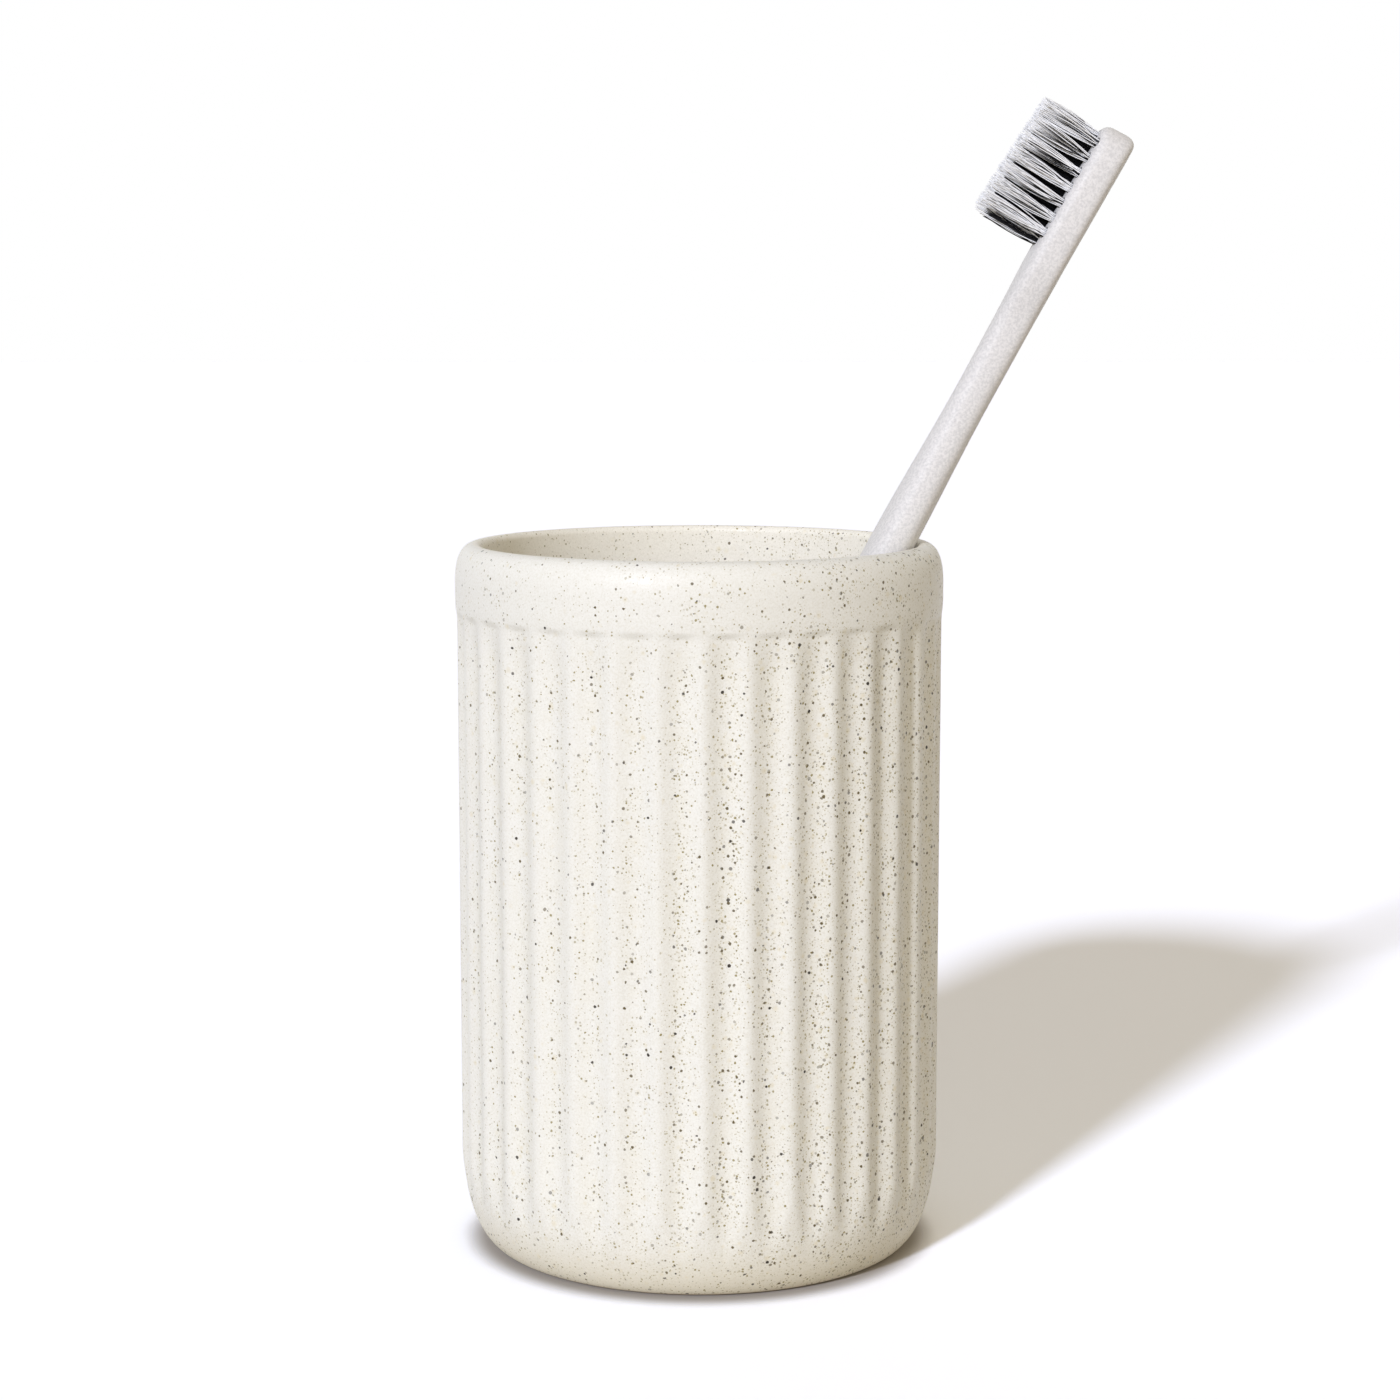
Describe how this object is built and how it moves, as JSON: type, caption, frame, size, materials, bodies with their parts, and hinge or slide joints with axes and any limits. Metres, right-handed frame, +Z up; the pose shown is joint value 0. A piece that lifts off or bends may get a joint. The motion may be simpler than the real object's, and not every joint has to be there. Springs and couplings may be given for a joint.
{
  "type": "toothbrush holder",
  "caption": "Fluted stoneware tumbler in speckled ivory glaze that holds a toothbrush, which leans on its lip and lifts out.",
  "frame": {"origin": "on the tumbler's axis, in the plane of the foot ring it stands on", "axes": "+Z up along the tumbler's axis; +X towards the side of the rim that the brush leans on; -Y towards the viewer"},
  "size_m": [0.0991, 0.0722, 0.1702],
  "materials": {
    "glaze": "satin glaze with fine brown iron specks",
    "brush_plastic": "matte, finely flecked",
    "bristle_white": "translucent nylon",
    "bristle_black": "black nylon",
    "anchor_metal": "plain stamped strip"
  },
  "bodies": {
    "holder": {"holder_cup": "glaze"},
    "toothbrush": {"brush_handle": "brush_plastic", "tuft_anchors": "anchor_metal", "tuft_outer_left_1": "bristle_white", "tuft_outer_left_2": "bristle_white", "tuft_outer_left_3": "bristle_white", "tuft_outer_left_4": "bristle_white", "tuft_outer_left_5": "bristle_white", "tuft_outer_left_6": "bristle_white", "tuft_outer_left_7": "bristle_white", "tuft_outer_left_8": "bristle_white", "tuft_inner_left_1": "bristle_black", "tuft_inner_left_2": "bristle_black", "tuft_inner_left_3": "bristle_black", "tuft_inner_left_4": "bristle_black", "tuft_inner_left_5": "bristle_black", "tuft_inner_left_6": "bristle_black", "tuft_inner_left_7": "bristle_black", "tuft_inner_right_1": "bristle_black", "tuft_inner_right_2": "bristle_black", "tuft_inner_right_3": "bristle_black", "tuft_inner_right_4": "bristle_black", "tuft_inner_right_5": "bristle_black", "tuft_inner_right_6": "bristle_black", "tuft_inner_right_7": "bristle_black", "tuft_outer_right_1": "bristle_white", "tuft_outer_right_2": "bristle_white", "tuft_outer_right_3": "bristle_white", "tuft_outer_right_4": "bristle_white", "tuft_outer_right_5": "bristle_white", "tuft_outer_right_6": "bristle_white", "tuft_outer_right_7": "bristle_white", "tuft_outer_right_8": "bristle_white"}
  },
  "joints": [
    {"name": "brush_lift", "type": "slide", "parent": "holder", "child": "toothbrush", "axis": [0.4697, 0, 0.8828], "range_m": [0, 0.125]}
  ]
}
